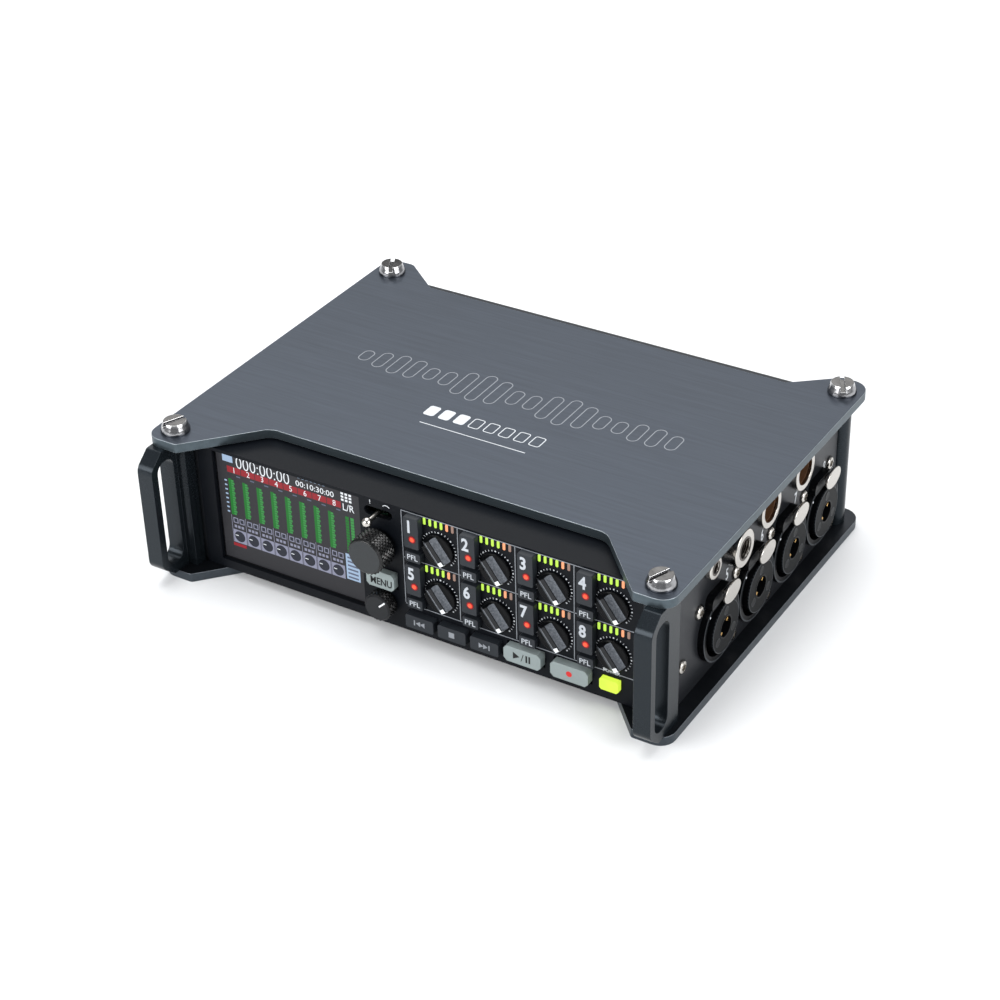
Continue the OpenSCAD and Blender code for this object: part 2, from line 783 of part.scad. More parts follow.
top_plate();
bottom_plate();
left_handle();
right_handle();
rear_posts();
left_side_panel();
right_side_panel();
rear_panel();
front_panel();
screen_window();
display_module();
level_lamps();
combo_jacks();
main_out_sockets();
phone_jacks();
rear_sockets();
plate_bolts();
case_screws();
circuit_boards();
trim_knob(0);  // trim_knob_1
trim_knob(1);  // trim_knob_2
trim_knob(2);  // trim_knob_3
trim_knob(3);  // trim_knob_4
trim_knob(4);  // trim_knob_5
trim_knob(5);  // trim_knob_6
trim_knob(6);  // trim_knob_7
trim_knob(7);  // trim_knob_8
track_key(0);  // track_key_1
track_key(1);  // track_key_2
track_key(2);  // track_key_3
track_key(3);  // track_key_4
track_key(4);  // track_key_5
track_key(5);  // track_key_6
track_key(6);  // track_key_7
track_key(7);  // track_key_8
pfl_key(0);  // pfl_key_1
pfl_key(1);  // pfl_key_2
pfl_key(2);  // pfl_key_3
pfl_key(3);  // pfl_key_4
pfl_key(4);  // pfl_key_5
pfl_key(5);  // pfl_key_6
pfl_key(6);  // pfl_key_7
pfl_key(7);  // pfl_key_8
rewind_key();
stop_key();
forward_key();
play_key();
record_key();
power_key();
menu_key();
dial_shaft();
select_dial();
volume_knob();
slate_switch();
left_latches();
right_latches();
battery_cover();
battery_sled();
battery_cells();
card_cover();
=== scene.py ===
import math

import bmesh
import bpy
from mathutils import Matrix, Vector


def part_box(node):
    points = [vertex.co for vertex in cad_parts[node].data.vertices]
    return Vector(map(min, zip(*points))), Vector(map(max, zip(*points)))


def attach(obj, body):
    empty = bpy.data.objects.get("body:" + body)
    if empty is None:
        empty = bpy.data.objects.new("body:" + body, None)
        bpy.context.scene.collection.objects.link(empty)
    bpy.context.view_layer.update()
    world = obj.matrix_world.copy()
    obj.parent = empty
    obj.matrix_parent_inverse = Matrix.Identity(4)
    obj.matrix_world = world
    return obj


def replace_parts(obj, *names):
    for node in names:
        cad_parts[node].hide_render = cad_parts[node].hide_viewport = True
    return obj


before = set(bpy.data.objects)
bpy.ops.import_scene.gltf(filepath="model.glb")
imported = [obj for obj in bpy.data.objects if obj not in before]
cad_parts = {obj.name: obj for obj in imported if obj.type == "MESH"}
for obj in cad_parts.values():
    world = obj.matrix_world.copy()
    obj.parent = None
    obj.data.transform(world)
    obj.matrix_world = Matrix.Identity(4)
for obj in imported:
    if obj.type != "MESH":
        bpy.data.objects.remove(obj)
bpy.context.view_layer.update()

# Sizes are in millimetres until a piece is built, and meshes are in metres.
MM = 0.001
CHANNELS = 8


# ---------- places on the recorder ----------


def span(node):
    """A CAD node's lowest and highest corner, in millimetres."""
    low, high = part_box(node)
    return low / MM, high / MM


def middle(node):
    low, high = span(node)
    return (low + high) / 2


# Each of these gives a place function: (across, up, out) on a face to (x, y, z).


def front(y):
    return lambda u, v, h: (u, y - h, v)


def right(x):
    return lambda u, v, h: (x + h, u, v)


def left(x):
    return lambda u, v, h: (-x - h, -u, v)


def rear(y):
    return lambda u, v, h: (-u, y + h, v)


def top(z):
    return lambda u, v, h: (u, v, z + h)


def under(z):
    return lambda u, v, h: (u, -v, z - h)


# ---------- outlines, as lists of (across, up) ----------


def arc(u, v, r, start, end, n):
    """n + 1 points on a circle, from one angle to another in degrees."""
    turns = [math.radians(start + (end - start) * i / n) for i in range(n + 1)]
    return [(u + r * math.cos(t), v + r * math.sin(t)) for t in turns]


def circle(u, v, r, n=32):
    return arc(u, v, r, 0, 360 - 360 / n, n - 1)


def box(u, v, w, h, r=0.0, n=4):
    """A rectangle round (u, v), with its corners rounded by r."""
    a, b = w / 2 - r, h / 2 - r
    if r <= 0:
        return [(u - a, v - b), (u + a, v - b), (u + a, v + b), (u - a, v + b)]
    corners = [(a, -b, -90), (a, b, 0), (-a, b, 90), (-a, -b, 180)]
    return [p for x, y, t in corners for p in arc(u + x, v + y, r, t, t + 90, n)]


def bar(start, end, width):
    """A straight bar between two points."""
    (a, b), (c, d) = start, end
    length = math.hypot(c - a, d - b)
    s, t = (b - d) / length * width / 2, (c - a) / length * width / 2
    return [(a - s, b - t), (c - s, d - t), (c + s, d + t), (a + s, b + t)]


# ---------- meshes ----------


class Piece:
    """Faces gathered on one face of the recorder, each with the number of its material."""

    def __init__(self, place):
        self.place = place
        self.points, self.faces, self.inks = [], [], []

    def add(self, points, faces, ink=0):
        base = len(self.points)
        self.points += [self.place(*p) for p in points]
        self.faces += [[base + i for i in f] for f in faces]
        self.inks += [ink] * len(faces)

    def skin(self, rings, ink=0, closed=False):
        """Joins rings of (across, up, out) with equal counts; open ends get a cap."""
        n, m = len(rings[0]), len(rings)
        faces = []
        for j in range(m if closed else m - 1):
            a, b = j * n, (j + 1) % m * n
            faces += [[a + i, a + (i + 1) % n, b + (i + 1) % n, b + i] for i in range(n)]
        if not closed:
            faces += [list(range(n)), list(range((m - 1) * n, m * n))]
        self.add([p for ring in rings for p in ring], faces, ink)

    def slab(self, outline, low, high, ink=0):
        self.skin([[(u, v, h) for u, v in outline] for h in (low, high)], ink)

    def lathe(self, u, v, profile, ink=0, n=40):
        """A turned solid round (u, v) from (radius, out) pairs."""
        self.skin([[(a, b, h) for a, b in circle(u, v, r, n)] for r, h in profile], ink)

    def ring(self, u, v, inner, outer, low, high, ink=0, n=48):
        corners = [(inner, low), (outer, low), (outer, high), (inner, high)]
        rings = [[(a, b, h) for a, b in circle(u, v, r, n)] for r, h in corners]
        self.skin(rings, ink, closed=True)

    def frame(self, outer, inner, low, high, ink=0):
        """The band between two outlines with equal counts."""
        corners = [(inner, low), (outer, low), (outer, high), (inner, high)]
        self.skin([[(a, b, h) for a, b in line] for line, h in corners], ink, closed=True)

    def word(self, text, u, v, height, low, high, ink=0, weight=0.0, stretch=1.0):
        """Lettering round (u, v), height millimetres from foot to top."""
        points, faces, tall = letters(text, weight)
        size = height / tall
        placed = [(u + x * size * stretch, v + y * size, high if front_side else low)
                  for x, y, front_side in points]
        self.add(placed, faces, ink)

    def build(self, name, body, slot, materials, sharp=35):
        """Makes the object, riding on a body, with edges past sharp degrees left hard."""
        mesh = bpy.data.meshes.new(name)
        mesh.from_pydata([[c * MM for c in p] for p in self.points], [], self.faces)
        for m in materials:
            mesh.materials.append(m)
        mesh.polygons.foreach_set("material_index", self.inks)
        work = bmesh.new()
        work.from_mesh(mesh)
        bmesh.ops.remove_doubles(work, verts=work.verts, dist=1e-7)
        bmesh.ops.recalc_face_normals(work, faces=work.faces)
        work.to_mesh(mesh)
        work.free()
        mesh.shade_smooth()
        mesh.set_sharp_from_angle(angle=math.radians(sharp))
        obj = bpy.data.objects.new(name, mesh)
        bpy.context.scene.collection.objects.link(obj)
        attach(obj, body)
        return obj


ROUNDED_FROM = 30       # degrees between two faces from which their edge is rounded


def soften(obj, width, segments=2):
    """Rounds an object's edges and shades its flat faces flat."""
    bevel = obj.modifiers.new("round", "BEVEL")
    bevel.width = width * MM
    bevel.segments = segments
    bevel.limit_method = "ANGLE"
    bevel.angle_limit = math.radians(ROUNDED_FROM)
    obj.modifiers.new("shade", "WEIGHTED_NORMAL")


def letters(text, weight):
    """A word as centred points (x, y, side), faces and its height, from Blender's own font."""
    curve = bpy.data.curves.new("letters", "FONT")
    curve.body = text
    curve.offset = weight
    curve.extrude = 0.5
    curve.resolution_u = 3
    obj = bpy.data.objects.new("letters", curve)
    bpy.context.scene.collection.objects.link(obj)
    graph = bpy.context.evaluated_depsgraph_get()
    mesh = bpy.data.meshes.new_from_object(obj.evaluated_get(graph))
    xs = [v.co.x for v in mesh.vertices]
    ys = [v.co.y for v in mesh.vertices]
    x, y = (min(xs) + max(xs)) / 2, (min(ys) + max(ys)) / 2
    points = [(v.co.x - x, v.co.y - y, v.co.z > 0) for v in mesh.vertices]
    faces = [list(p.vertices) for p in mesh.polygons]
    bpy.data.objects.remove(obj)
    bpy.data.curves.remove(curve)
    bpy.data.meshes.remove(mesh)
    return points, faces, max(ys) - min(ys)


# ---------- materials ----------

UNLIT = 0.2         # how much of a lamp's colour shows as paint when light falls on it
BROAD_GRAIN = 38.0  # the broad noise's scale per metre


def rgb(r, g, b):
    """A screen colour from 0 to 255 as Blender's linear colour."""
    share = [c / 255 for c in (r, g, b)]
    return [c / 12.92 if c < 0.04 else ((c + 0.055) / 1.055) ** 2.4 for c in share]


def finish(name, colour, rough, metal=0.0, grain=(900, 900, 900), spread=0.12, blotch=0.08,
           bump=0.15, depth=0.02, brushed=0.0, glow=0.0, uneven=0.08, gloss=0.25,
           edge_highlight=None):
    """A material whose colour, roughness and height come from a fine and a broad noise.

    grain is the fine noise's scale per metre along X, Y and Z, spread and blotch are how far
    the fine and broad noise move the colour, uneven is how far they move the roughness, and
    depth is the grain's height in millimetres. brushed draws highlights out along X, gloss is
    the specular level and glow the strength of the material's own light. The edge colours are
    a painted highlight: a lighter colour painted on the upright faces and a bright one on the
    rounded edges between them and the flat ones, standing in for the light they catch."""
    m = bpy.data.materials.new(name)
    m.use_nodes = True
    nodes, links = m.node_tree.nodes, m.node_tree.links
    shader = nodes["Principled BSDF"]

    def node(kind, **inputs):
        made = nodes.new(kind)
        for key, value in inputs.items():
            made.inputs[key.replace("_", " ")].default_value = value
        return made

    def math_node(operation, a, b):
        made = nodes.new("ShaderNodeMath")
        made.operation = operation
        for socket, value in zip(made.inputs, (a, b)):
            if isinstance(value, float):
                socket.default_value = value
            else:
                links.new(value, socket)
        return made.outputs[0]

    where = node("ShaderNodeTexCoord")
    scaled = node("ShaderNodeMapping", Scale=grain)
    fine = node("ShaderNodeTexNoise", Scale=1.0, Detail=4.0, Roughness=0.6)
    broad = node("ShaderNodeTexNoise", Scale=BROAD_GRAIN, Detail=3.0)
    links.new(where.outputs["Object"], scaled.inputs["Vector"])
    links.new(scaled.outputs["Vector"], fine.inputs["Vector"])
    links.new(where.outputs["Object"], broad.inputs["Vector"])
    fine_part = math_node("SUBTRACT", fine.outputs["Fac"], 0.5)
    broad_part = math_node("SUBTRACT", broad.outputs["Fac"], 0.5)
    shade = math_node("ADD", math_node("MULTIPLY", fine_part, 2 * spread), 1.0)
    shade = math_node("ADD", shade, math_node("MULTIPLY", broad_part, 2 * blotch))
    tint = nodes.new("ShaderNodeVectorMath")
    tint.operation = "SCALE"
    tint.inputs[0].default_value = colour
    links.new(shade, tint.inputs["Scale"])
    # painted highlight: by how far the normal tilts, upright faces get a lighter colour and rounded
    # edges a bright one, in place of the light they catch
    if edge_highlight:
        facing = node("ShaderNodeNewGeometry")
        split = node("ShaderNodeSeparateXYZ")
        links.new(facing.outputs["Normal"], split.inputs[0])
        ramp = nodes.new("ShaderNodeValToRGB")
        links.new(math_node("ABSOLUTE", split.outputs["Z"], 0.0), ramp.inputs[0])
        stops = ramp.color_ramp.elements
        for place in (0.35, 0.55, 0.85):
            stops.new(place)
        for stop, shown in zip(stops, (edge_highlight[0], edge_highlight[0], edge_highlight[1], edge_highlight[1], colour)):
            stop.color = (*shown, 1)
        stops[4].position = 0.95
        links.new(ramp.outputs["Color"], tint.inputs[0])
    links.new(tint.outputs[0], shader.inputs["Base Color"])
    wobble = math_node("ADD", fine_part, broad_part)
    roughness = math_node("ADD", math_node("MULTIPLY", wobble, uneven), float(rough))
    links.new(roughness, shader.inputs["Roughness"])
    relief = node("ShaderNodeBump", Strength=bump, Distance=depth * MM)
    links.new(fine.outputs["Fac"], relief.inputs["Height"])
    links.new(relief.outputs["Normal"], shader.inputs["Normal"])
    shader.inputs["Metallic"].default_value = metal
    if brushed:
        along = node("ShaderNodeCombineXYZ", X=1.0)
        links.new(along.outputs[0], shader.inputs["Tangent"])
        shader.inputs["Anisotropic"].default_value = brushed
    shader.inputs["Specular IOR Level"].default_value = gloss
    if glow:
        unlit = nodes.new("ShaderNodeVectorMath")
        unlit.operation = "SCALE"
        unlit.inputs["Scale"].default_value = UNLIT
        links.new(tint.outputs[0], unlit.inputs[0])
        links.new(unlit.outputs[0], shader.inputs["Base Color"])
        links.new(tint.outputs[0], shader.inputs["Emission Color"])
        shader.inputs["Emission Strength"].default_value = glow
    return m


ALONG_X = (34, 820, 820)    # a grain drawn out along X, for brushed metal
# the top plate, with painted highlight colours on its upright faces and rounded edges
plate_blue = finish("brushed_slate_plate", rgb(68, 74, 83), 0.38, 0.75, ALONG_X, 0.32, 0.1,
                    0.4, 0.03, brushed=0.6, edge_highlight=(rgb(78, 88, 94), rgb(190, 199, 204)))
# the bottom plate: the same brushed metal painted darker as painted shade for the shade under the
# case, with painted highlight colours on its upright faces and rounded edges
plate_shaded = finish("brushed_plate_painted_shade", rgb(34, 37, 42), 0.38, 0.75, ALONG_X, 0.3, 0.1,
                    0.4, 0.03, brushed=0.6, edge_highlight=(rgb(68, 74, 80), rgb(150, 156, 164)))
frame_grey = finish("satin_frame_grey", rgb(31, 37, 42), 0.26, 0.6, (1500, 1500, 1500), 0.1,
                    gloss=0.35)
side_grey = finish("satin_side_grey", rgb(40, 42, 46), 0.36, 0.5, (1300, 1300, 1300), 0.12)
panel_grey = finish("front_panel_grey", rgb(11, 14, 19), 0.45, 0, (1600, 1600, 1600), 0.1,
                    gloss=0.1)
jack_black = finish("moulded_black", rgb(7, 8, 10), 0.3, 0, (2200, 2200, 2200), 0.2,
                    gloss=0.1)
insert_grey = finish("jack_insert_grey", rgb(8, 10, 12), 0.32, 0, (1800, 1800, 1800), 0.2,
                     gloss=0.04)
# the grey of the painted highlight lines on the jacks' edges
highlight_grey = finish("jack_highlight_grey", rgb(54, 58, 62), 0.4, 0.3, (1800, 1800, 1800), 0.1)
knob_black = finish("knob_black", rgb(8, 9, 11), 0.3, 0, (2600, 2600, 2600), 0.5,
                    bump=0.3, depth=0.02, gloss=0.1, uneven=0.2)
knurl_black = finish("knurl_black", rgb(10, 11, 12), 0.24, 0.2, (900, 900, 900), 0.1, gloss=0.5)
# a lighter grey painted on the knob's black flanks next to the fin: a painted sheen for the light the
# hollow flank catches
knob_flank_sheen = finish("knob_flank_sheen", rgb(100, 104, 110), 0.4, 0.7, (1900, 1900, 1900), 0.95,
                    bump=0.5, depth=0.04, uneven=0.4)
knob_dark = finish("knob_dark_face", rgb(22, 24, 27), 0.45, 0, (3500, 3500, 3500), 0.15)
knob_face = finish("knob_face_grey", rgb(44, 47, 49), 0.45, 0, (3500, 3500, 3500), 0.15)
key_grey = finish("key_grey", rgb(33, 37, 42), 0.46, 0, (2600, 2600, 2600), 0.12)
key_light = finish("key_light", rgb(134, 144, 144), 0.4, 0, (2600, 2600, 2600), 0.05)
key_lit = finish("key_lit", rgb(208, 236, 74), 0.35, 0, (160, 160, 160), 0.16, glow=1.0)
nickel = finish("nickel", rgb(196, 192, 186), 0.18, 1, (1800, 1800, 1800), 0.12, bump=0.2)
dark_nickel = finish("dark_nickel", rgb(88, 80, 74), 0.24, 1, (1500, 1500, 1500), 0.16)
# bolt heads: the strong colour streaks drawn out along Z, the light flanks and the bright rounded
# edges are painted reflections on the chrome
bolt_chrome = finish("bolt_chrome", rgb(84, 83, 82), 0.16, 1, (430, 430, 60), 0.7,
                     edge_highlight=(rgb(150, 150, 152), rgb(236, 236, 236)))
gold = finish("gold_contact", rgb(226, 178, 92), 0.26, 1, (1500, 1500, 1500), 0.08)
bronze = finish("bronze_insulator", rgb(104, 74, 52), 0.5, 0.4, (1200, 1200, 1200), 0.2)
board_green = finish("board_green", rgb(16, 42, 30), 0.5, 0, (500, 500, 500), 0.2)
cell_wrap = finish("cell_wrap", rgb(176, 132, 40), 0.35, 0.4, (300, 300, 300), 0.08)
glass = finish("screen_glass", rgb(14, 15, 17), 0.06, 0, (60, 60, 60), 0.05, bump=0, uneven=0.01)
print_white = finish("print_white", rgb(204, 208, 212), 0.5, 0, (3000, 3000, 3000), 0.05)
legend_grey = finish("legend_grey", rgb(180, 185, 191), 0.5, 0, (3000, 3000, 3000), 0.06)
print_grey = finish("print_grey", rgb(132, 136, 142), 0.5, 0, (3000, 3000, 3000), 0.06)
print_black = finish("print_black", rgb(14, 15, 17), 0.5, 0, (3000, 3000, 3000), 0.1)
tip_white = finish("pointer_white", rgb(232, 235, 238), 0.4, 0, (2500, 2500, 2500), 0.04)
red_dot = finish("red_dot", rgb(196, 40, 40), 0.4, 0, (2500, 2500, 2500), 0.06)


def light(name, colour, glow):
    return finish(name, colour, 0.35, 0, (1200, 1200, 1200), 0.05, 0.02, 0.02, glow=glow)


led_core = light("led_core", rgb(255, 92, 58), 1.1)
# the halo and the outer fringe round the LED's core are painted glow: the lamp's light spreading
# round it, painted as glowing rings
led_halo = light("led_halo", rgb(186, 28, 26), 1.0)
led_outer_glow = light("led_outer_glow", rgb(72, 16, 20), 1.0)
lamp_green = light("lamp_green", rgb(188, 232, 84), 1.0)
lamp_orange = light("lamp_orange", rgb(246, 162, 118), 1.0)
lamp_dim = light("lamp_dim", rgb(150, 122, 110), 0.9)

# the CAD nodes that stay visible: material, and how far their edges are rounded
FINISHES = {
    "top_plate": (plate_blue, 0.45), "bottom_plate": (plate_shaded, 0.45),
    "left_handle": (frame_grey, 1.1), "right_handle": (frame_grey, 1.1),
    "rear_posts": (frame_grey, 0.25), "left_side_panel": (side_grey, 0.25),
    "right_side_panel": (side_grey, 0.25), "rear_panel": (side_grey, 0.25),
    "front_panel": (panel_grey, 0.22), "screen_window": (glass, 0.05),
    "display_module": (dark_nickel, 0.2), "combo_jacks": (jack_black, 0.25),
    "main_out_sockets": (nickel, 0.7), "phone_jacks": (nickel, 0.6),
    "rear_sockets": (nickel, 0.3), "plate_bolts": (bolt_chrome, 0.15),
    "circuit_boards": (board_green, 0.1), "dial_shaft": (nickel, 0.1),
    "slate_switch": (nickel, 0.1), "left_latches": (nickel, 0.25),
    "right_latches": (nickel, 0.25), "battery_cover": (side_grey, 0.3),
    "battery_sled": (jack_black, 0.2), "battery_cells": (cell_wrap, 0.4),
    "card_cover": (jack_black, 0.25), "play_key": (key_light, 0.3),
    "record_key": (key_light, 0.3), "menu_key": (key_light, 0.25), "power_key": (key_lit, 0.35),
    "rewind_key": (key_grey, 0.4), "stop_key": (key_grey, 0.4), "forward_key": (key_grey, 0.4),
}
for number in range(1, CHANNELS + 1):
    FINISHES[f"track_key_{number}"] = (key_grey, 0.4)
    FINISHES[f"pfl_key_{number}"] = (key_grey, 0.3)

for name, (material, rounding) in FINISHES.items():
    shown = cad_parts[name]
    for place in shown.material_slots:
        place.material = material
    shown.modifiers.new("weld", "WELD").merge_threshold = 1e-6
    flat = shown.modifiers.new("flat", "DECIMATE")
    flat.decimate_type = "DISSOLVE"
    flat.angle_limit = math.radians(0.5)
    soften(shown, rounding, 3 if rounding > 1 else 2)


# ---------- control knobs ----------

PANEL_Y = span("front_panel")[0].y
face = front(PANEL_Y)
knob_low, knob_high = span("trim_knob_1")
KNOB_R = (knob_high.x - knob_low.x) / 2
KNOB_TOP_R = 4.2
KNOB_REACH = PANEL_Y - knob_low.y
SKIRT = (0.3, 1.0)      # back and front of the skirt's disc
FIN = 0.95              # half the fin's width
FIN_EDGE = 0.14         # how far the fin's flat top is rounded off
SWEEP = 2.6             # how hollow the flanks are, 1 being straight
SCOOP = 9               # steps of the sweep from the fin to the skirt
FIN_BANDS = 4           # bands of faces across the fin's top
SHEEN_STEPS = 4               # how many steps next to the fin get the painted sheen
POINTER = -54           # direction of the pointer, from level
TIP_W = 1.5             # the white tip's width
TRIM_FROM_KEY = (8.0, -4.3)
LAMP_FROM_KEY = (3.3, 4.0)
LAMP_PITCH = 1.9
LAMPS = 6
LENS = (0.84, 2.4)      # a level lamp's width and height


def trim_knob(number, u, v):
    """A pointer knob: a fin whose flanks sweep down to a round skirt."""
    knob = Piece(face)
    c, s = math.cos(math.radians(POINTER)), math.sin(math.radians(POINTER))

    def at(along, across, out):
        return (u + along * c - across * s, v + along * s + across * c, out)

    half = [(0, KNOB_REACH), (FIN - 0.12, KNOB_REACH), (FIN, KNOB_REACH - FIN_EDGE)]
    for i in range(1, SCOOP + 1):
        t = i / SCOOP
        half.append((FIN + (KNOB_R - 0.1 - FIN) * t,
                     SKIRT[1] + (KNOB_REACH - FIN_EDGE - SKIRT[1]) * (1 - t) ** SWEEP))
    rings = []
    for t, out in [(-t, out) for t, out in reversed(half[1:])] + half:
        rise = max(0, out - SKIRT[1]) / (KNOB_REACH - SKIRT[1])
        near = math.sqrt(max((KNOB_R - (KNOB_R - KNOB_TOP_R) * rise) ** 2 - t * t, 0.01))
        foot = math.sqrt(max(KNOB_R ** 2 - t * t, 0.01))
        rings.append([at(-foot, t, SKIRT[0]), at(foot, t, SKIRT[0]),
                      at(near, t, out), at(-near, t, out)])
    knob.skin(rings)
    past_fin = SCOOP + FIN_BANDS
    # the steps next to the fin on both flanks get the painted sheen
    for band in [*range(SCOOP - SHEEN_STEPS, SCOOP), *range(past_fin, past_fin + SHEEN_STEPS)]:
        knob.inks[4 * band + 2] = 1
    knob.lathe(u, v, [(KNOB_R - 0.3, 0.3), (KNOB_R, 0.4), (KNOB_R, 0.9), (KNOB_R - 0.25, 1.1)])
    flat = box(0, 0, 2 * KNOB_TOP_R - 0.3, 2 * FIN - 0.35)
    knob.skin([[at(a, b, KNOB_REACH - 0.2 + h) for a, b in flat] for h in (0, 0.22)], 2)
    # a grey line along the fin's top edge: a painted highlight on its rounded edge
    edge_highlight = box(-0.2, 0.18 - FIN, 2 * KNOB_TOP_R - 0.8, 0.14)
    knob.skin([[at(a, b, KNOB_REACH + h) for a, b in edge_highlight] for h in (-0.1, 0.05)], 4)
    tip = box(KNOB_TOP_R - 0.55, -0.1, 1.3, TIP_W)
    foot = box(KNOB_TOP_R - 0.3, -0.1, 1.7, TIP_W)
    knob.skin([[at(a, b, SKIRT[1] + 0.1) for a, b in foot],
               [at(a, b, KNOB_REACH + 0.06) for a, b in tip]], 3)
    name = f"trim_knob_{number}"
    made = knob.build(f"pointer_knob_{number}", name, "knob_black",
                      [knob_black, knob_flank_sheen, knob_dark, tip_white, print_grey])
    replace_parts(made, name)


def knurled(piece, u, v, r, low, high, around, rows, depth):
    """A diamond-knurled cylinder side: peaks between crossing grooves."""
    n = 2 * around
    points, faces = [], []
    for j in range(rows + 1):
        for i in range(n):
            t = 2 * math.pi * i / n
            reach = r - (depth if (i + j) % 2 == 0 else 0)
            points.append((u + reach * math.cos(t), v + reach * math.sin(t),
                           low + (high - low) * j / rows))
    for j in range(rows):
        for i in range(n):
            a, b = j * n + i, j * n + (i + 1) % n
            c, d = b + n, a + n
            faces += [[a, b, c], [a, c, d]] if (i + j) % 2 == 0 else [[a, b, d], [b, c, d]]
    faces += [list(range(n)), list(range(rows * n, (rows + 1) * n))]
    piece.add(points, faces)


keys = [middle(f"track_key_{i + 1}") for i in range(CHANNELS)]
for i, key in enumerate(keys):
    trim_knob(i + 1, key.x + TRIM_FROM_KEY[0], key.z + TRIM_FROM_KEY[1])

# each knurl: diamonds round the side, rows of them, and the grooves' depth
DIAL_KNURL = (27, 8, 0.32)
VOLUME_KNURL = (22, 5, 0.28)

dial_low, dial_high = span("select_dial")
DIAL_R = (dial_high.x - dial_low.x) / 2
dial = Piece(face)
dial_u, dial_v = (dial_low.x + dial_high.x) / 2, (dial_low.z + dial_high.z) / 2
dial_out = PANEL_Y - dial_low.y
knurled(dial, dial_u, dial_v, DIAL_R, 1.9, dial_out - 0.7, *DIAL_KNURL)
dial.lathe(dial_u, dial_v, [(DIAL_R - 0.5, 1.0), (DIAL_R - 0.35, 1.2), (DIAL_R - 0.35, 2.1)])
dial.lathe(dial_u, dial_v, [(DIAL_R - 0.3, dial_out - 1.0), (DIAL_R - 0.35, dial_out - 0.6),
                            (DIAL_R - 0.7, dial_out - 0.12), (DIAL_R - 0.95, dial_out)], 0, 54)
dial.lathe(dial_u, dial_v, [(DIAL_R - 1.0, dial_out - 0.3), (DIAL_R - 1.0, dial_out + 0.03)], 1)
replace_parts(dial.build("select_dial_knurled", "select_dial", "knob_black",
                       [knurl_black, knob_face], sharp=20), "select_dial")

VOLUME_R = 4.7
POINTER_TURN = 44
POINTER_REACH = (1.3, 4.1)      # start and end of the volume knob's white line
volume_low, volume_high = span("volume_knob")
volume = Piece(face)
vol_u, vol_v = (volume_low.x + volume_high.x) / 2, (volume_low.z + volume_high.z) / 2
vol_out = PANEL_Y - volume_low.y
knurled(volume, vol_u, vol_v, VOLUME_R, 0.8, vol_out - 0.6, *VOLUME_KNURL)
volume.lathe(vol_u, vol_v, [(VOLUME_R - 0.4, 0.3), (VOLUME_R - 0.25, 0.5), (VOLUME_R - 0.25, 1)])
volume.lathe(vol_u, vol_v, [(VOLUME_R - 0.25, vol_out - 0.9), (VOLUME_R - 0.3, vol_out - 0.5),
                            (VOLUME_R - 0.7, vol_out)], 1, 44)
c, s = math.cos(math.radians(POINTER_TURN)), math.sin(math.radians(POINTER_TURN))
ends = [(vol_u + reach * c, vol_v + reach * s) for reach in POINTER_REACH]
volume.slab(bar(*ends, 0.5), vol_out - 0.2, vol_out + 0.05, 2)
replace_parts(volume.build("volume_knob_knurled", "volume_knob", "knob_black",
                         [knurl_black, knob_dark, tip_white], sharp=20), "volume_knob")


# ---------- keys, lamps and printing on the front panel ----------

INK = (-0.02, 0.04)     # back and front of a printed line, from the surface it is on


def key_piece(node):
    """A piece drawn on a key's front face, and the face's middle."""
    low, high = span(node)
    return Piece(front(low.y)), (low.x + high.x) / 2, (low.z + high.z) / 2


NUMERAL_AT = (-0.65, 2.2)
NUMERAL_H = 4.3
PFL_H = 1.75
LED_AT = (0.4, -2.0)
LED = (                 # the painted glow round the lamp, outer fringe then halo, and its core: profile, material number and sides
    ([(1.35, -0.02), (1.35, 0.03), (1.2, 0.06)], 1, 24),
    ([(1.0, 0.02), (1.0, 0.1), (0.85, 0.16)], 2, 24),
    ([(0.68, 0.1), (0.66, 0.2), (0.4, 0.3)], 3, 20),
)
for i in range(CHANNELS):
    drawn, u, v = key_piece(f"track_key_{i + 1}")
    drawn.word(str(i + 1), u + NUMERAL_AT[0], v + NUMERAL_AT[1], NUMERAL_H, *INK, 0, 0.03, 0.82)
    for profile, ink, sides in LED:
        drawn.lathe(u + LED_AT[0], v + LED_AT[1], profile, ink, sides)
    drawn.build(f"track_legend_{i + 1}", f"track_key_{i + 1}", "key_grey",
                [legend_grey, led_outer_glow, led_halo, led_core])
    drawn, u, v = key_piece(f"pfl_key_{i + 1}")
    drawn.word("PFL", u, v, PFL_H, *INK, 0, 0.006, 1.0)
    drawn.build(f"solo_legend_{i + 1}", f"pfl_key_{i + 1}", "key_grey", [legend_grey])


def triangle(u, v, w, h, way):
    """An arrowhead round (u, v) that points right where way is 1 and left where it is -1."""
    return [(u - way * w / 2, v - h / 2), (u + way * w / 2, v), (u - way * w / 2, v + h / 2)]


for node, way in (("rewind_key", -1), ("forward_key", 1)):
    drawn, u, v = key_piece(node)
    for shift in (-0.75, 0.75):
        drawn.slab(triangle(u + shift - way * 0.3, v, 1.5, 1.8, way), *INK)
    drawn.slab(box(u + way * 1.7, v, 0.4, 1.8), *INK)
    drawn.build(f"{node}_legend", node, "key_grey", [print_grey])
drawn, u, v = key_piece("stop_key")
drawn.slab(box(u, v, 1.9, 1.9), *INK)
drawn.build("stop_key_legend", "stop_key", "key_grey", [print_grey])
drawn, u, v = key_piece("play_key")
drawn.slab(triangle(u - 1.9, v, 2.2, 2.4, 1), *INK)
drawn.slab(bar((u - 0.3, v - 1.3), (u + 0.5, v + 1.3), 0.22), *INK)
for shift in (1.5, 2.5):
    drawn.slab(box(u + shift, v, 0.55, 2.4), *INK)
drawn.build("play_key_legend", "play_key", "key_light", [print_black])
drawn, u, v = key_piece("record_key")
drawn.slab(circle(u, v, 0.95), *INK)
